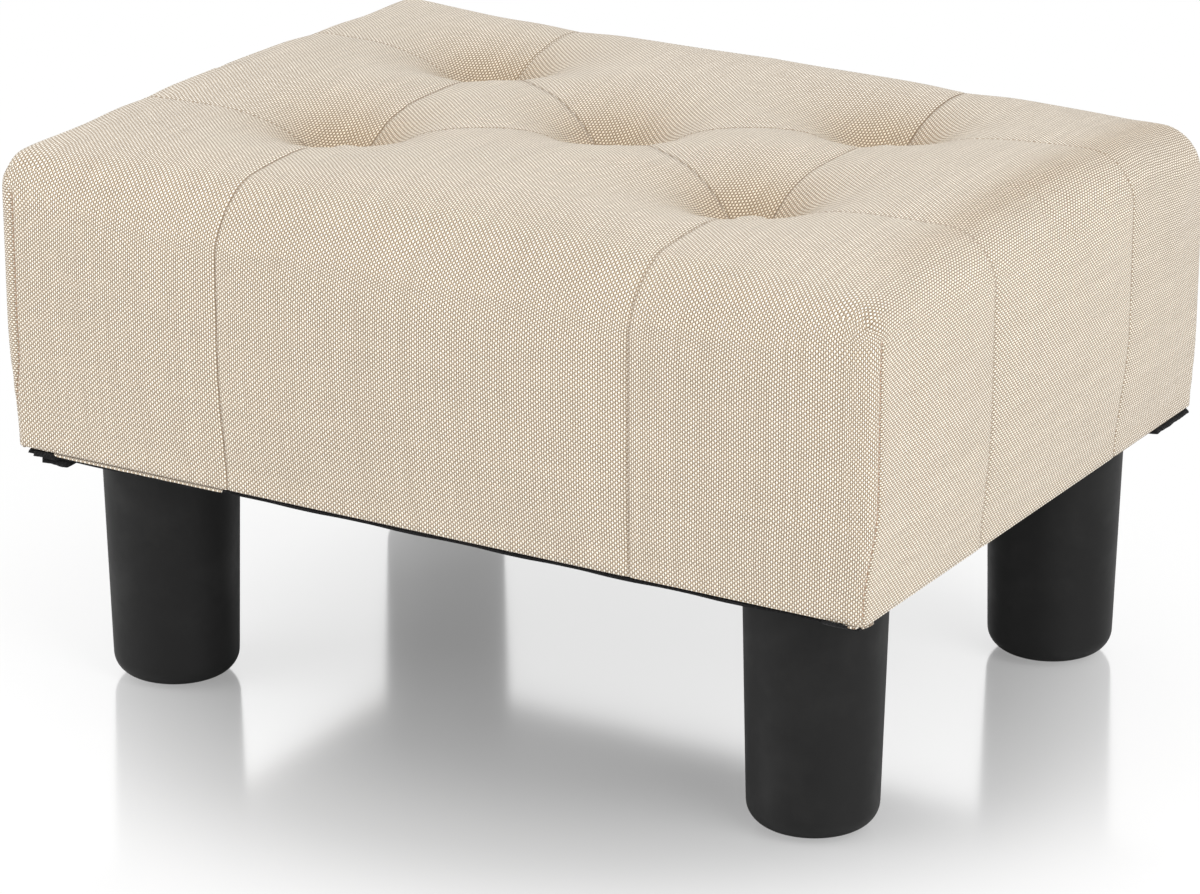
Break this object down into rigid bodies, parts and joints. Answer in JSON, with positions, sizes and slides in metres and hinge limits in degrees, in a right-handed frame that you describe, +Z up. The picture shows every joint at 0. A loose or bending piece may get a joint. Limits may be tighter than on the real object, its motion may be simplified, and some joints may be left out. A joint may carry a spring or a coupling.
{
  "type": "footstool",
  "caption": "Low rectangular upholstered footstool with a button-tufted, panel-sewn padded seat over a wooden box frame, on round tapered screw-in legs.",
  "frame": {"origin": "on the floor, under the middle of the stool", "axes": "+X along the long side to the right, +Y to the back (the front faces -Y), +Z up"},
  "size_m": [0.4084, 0.3104, 0.2425],
  "materials": {
    "linen_cover": "coarse linen-look weave",
    "linen_button": "coarse linen-look weave",
    "dust_cloth": "black non-woven",
    "foam": "open-cell foam",
    "wadding": "polyester fibre",
    "pine": "sawn",
    "plywood": "sanded",
    "zinc_steel": "zinc plated",
    "yellow_zinc_screws": "yellow zinc plated",
    "staple_steel": "galvanised",
    "twine": "waxed nylon twine",
    "anchor_plastic": "moulded",
    "black_plastic": "fine moulded matte",
    "pad_felt": "pressed felt"
  },
  "bodies": {
    "stool_body": {"frame_rail_front": "pine", "frame_rail_back": "pine", "frame_rail_left": "pine", "frame_rail_right": "pine", "corner_block_front_left": "pine", "corner_block_front_right": "pine", "corner_block_back_left": "pine", "corner_block_back_right": "pine", "top_board": "plywood", "tee_nuts": "zinc_steel", "frame_screws": "yellow_zinc_screws", "top_board_screws": "yellow_zinc_screws", "seat_foam": "foam", "wadding_wrap": "wadding", "cover_corner_front_left": "linen_cover", "cover_corner_front_right": "linen_cover", "cover_corner_back_left": "linen_cover", "cover_corner_back_right": "linen_cover", "cover_left": "linen_cover", "cover_right": "linen_cover", "cover_front": "linen_cover", "cover_back": "linen_cover", "cover_centre_left": "linen_cover", "cover_centre_right": "linen_cover", "tuft_button_front_left": "linen_button", "tuft_button_back_left": "linen_button", "tuft_button_centre": "linen_button", "tuft_button_front_right": "linen_button", "tuft_button_back_right": "linen_button", "button_backs": "zinc_steel", "tufting_twines": "twine", "twine_anchors": "anchor_plastic", "dust_cover": "dust_cloth", "hem_staples": "staple_steel", "dust_cover_staples": "staple_steel"},
    "leg_front_left": {"leg_shell_front_left": "black_plastic", "leg_cap_front_left": "black_plastic", "leg_bolt_front_left": "zinc_steel", "foot_pad_front_left": "pad_felt"},
    "leg_front_right": {"leg_shell_front_right": "black_plastic", "leg_cap_front_right": "black_plastic", "leg_bolt_front_right": "zinc_steel", "foot_pad_front_right": "pad_felt"},
    "leg_back_left": {"leg_shell_back_left": "black_plastic", "leg_cap_back_left": "black_plastic", "leg_bolt_back_left": "zinc_steel", "foot_pad_back_left": "pad_felt"},
    "leg_back_right": {"leg_shell_back_right": "black_plastic", "leg_cap_back_right": "black_plastic", "leg_bolt_back_right": "zinc_steel", "foot_pad_back_right": "pad_felt"}
  },
  "joints": [
    {"name": "leg_front_left_unscrew", "type": "slide", "parent": "stool_body", "child": "leg_front_left", "axis": [0, 0, -1], "range_m": [0, 0.026]},
    {"name": "leg_front_right_unscrew", "type": "slide", "parent": "stool_body", "child": "leg_front_right", "axis": [0, 0, -1], "range_m": [0, 0.026]},
    {"name": "leg_back_left_unscrew", "type": "slide", "parent": "stool_body", "child": "leg_back_left", "axis": [0, 0, -1], "range_m": [0, 0.026]},
    {"name": "leg_back_right_unscrew", "type": "slide", "parent": "stool_body", "child": "leg_back_right", "axis": [0, 0, -1], "range_m": [0, 0.026]}
  ]
}
